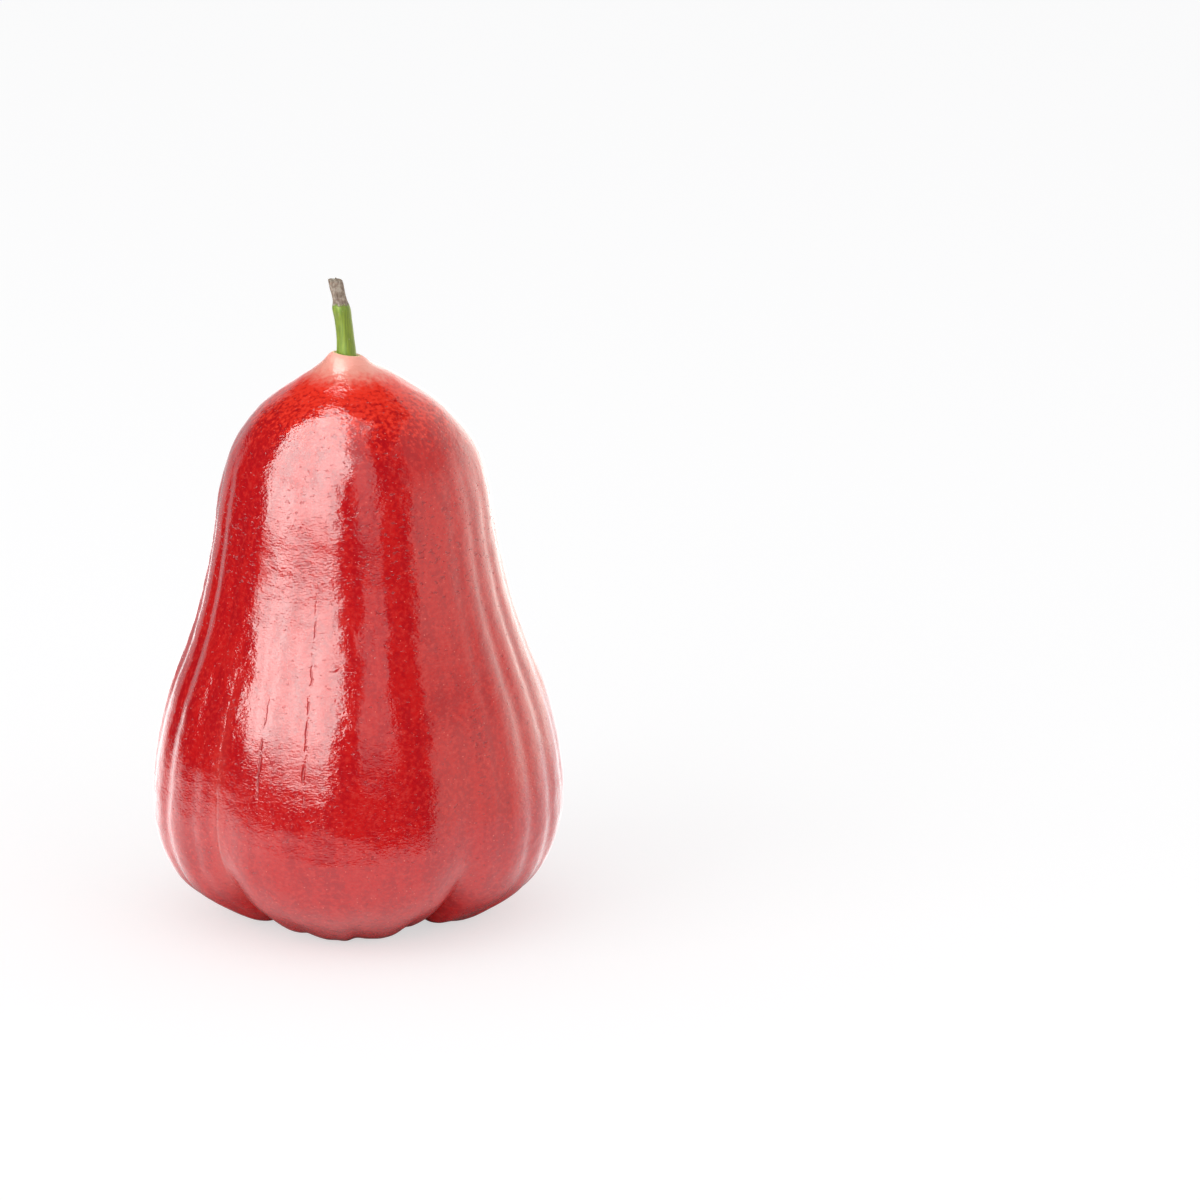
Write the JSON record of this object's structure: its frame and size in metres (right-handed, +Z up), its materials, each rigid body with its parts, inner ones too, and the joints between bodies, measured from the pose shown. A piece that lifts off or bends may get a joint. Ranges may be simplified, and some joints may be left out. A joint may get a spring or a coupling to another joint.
{
  "type": "wax apple",
  "caption": "Bell-shaped glossy red fruit with curled calyx lobes round a small basin and a short stalk, standing on its lobes.",
  "frame": {"origin": "on the resting plane, under the middle of the fruit's box", "axes": "+Z up, from the calyx lobes to the stalk; -Y is the side the camera sees; +X to its right"},
  "size_m": [0.0696, 0.0696, 0.1093],
  "materials": {
    "skin": "gloss",
    "stalk": "matte"
  },
  "bodies": {
    "root": {"fruit": "skin", "stalk": "stalk"}
  },
  "joints": []
}
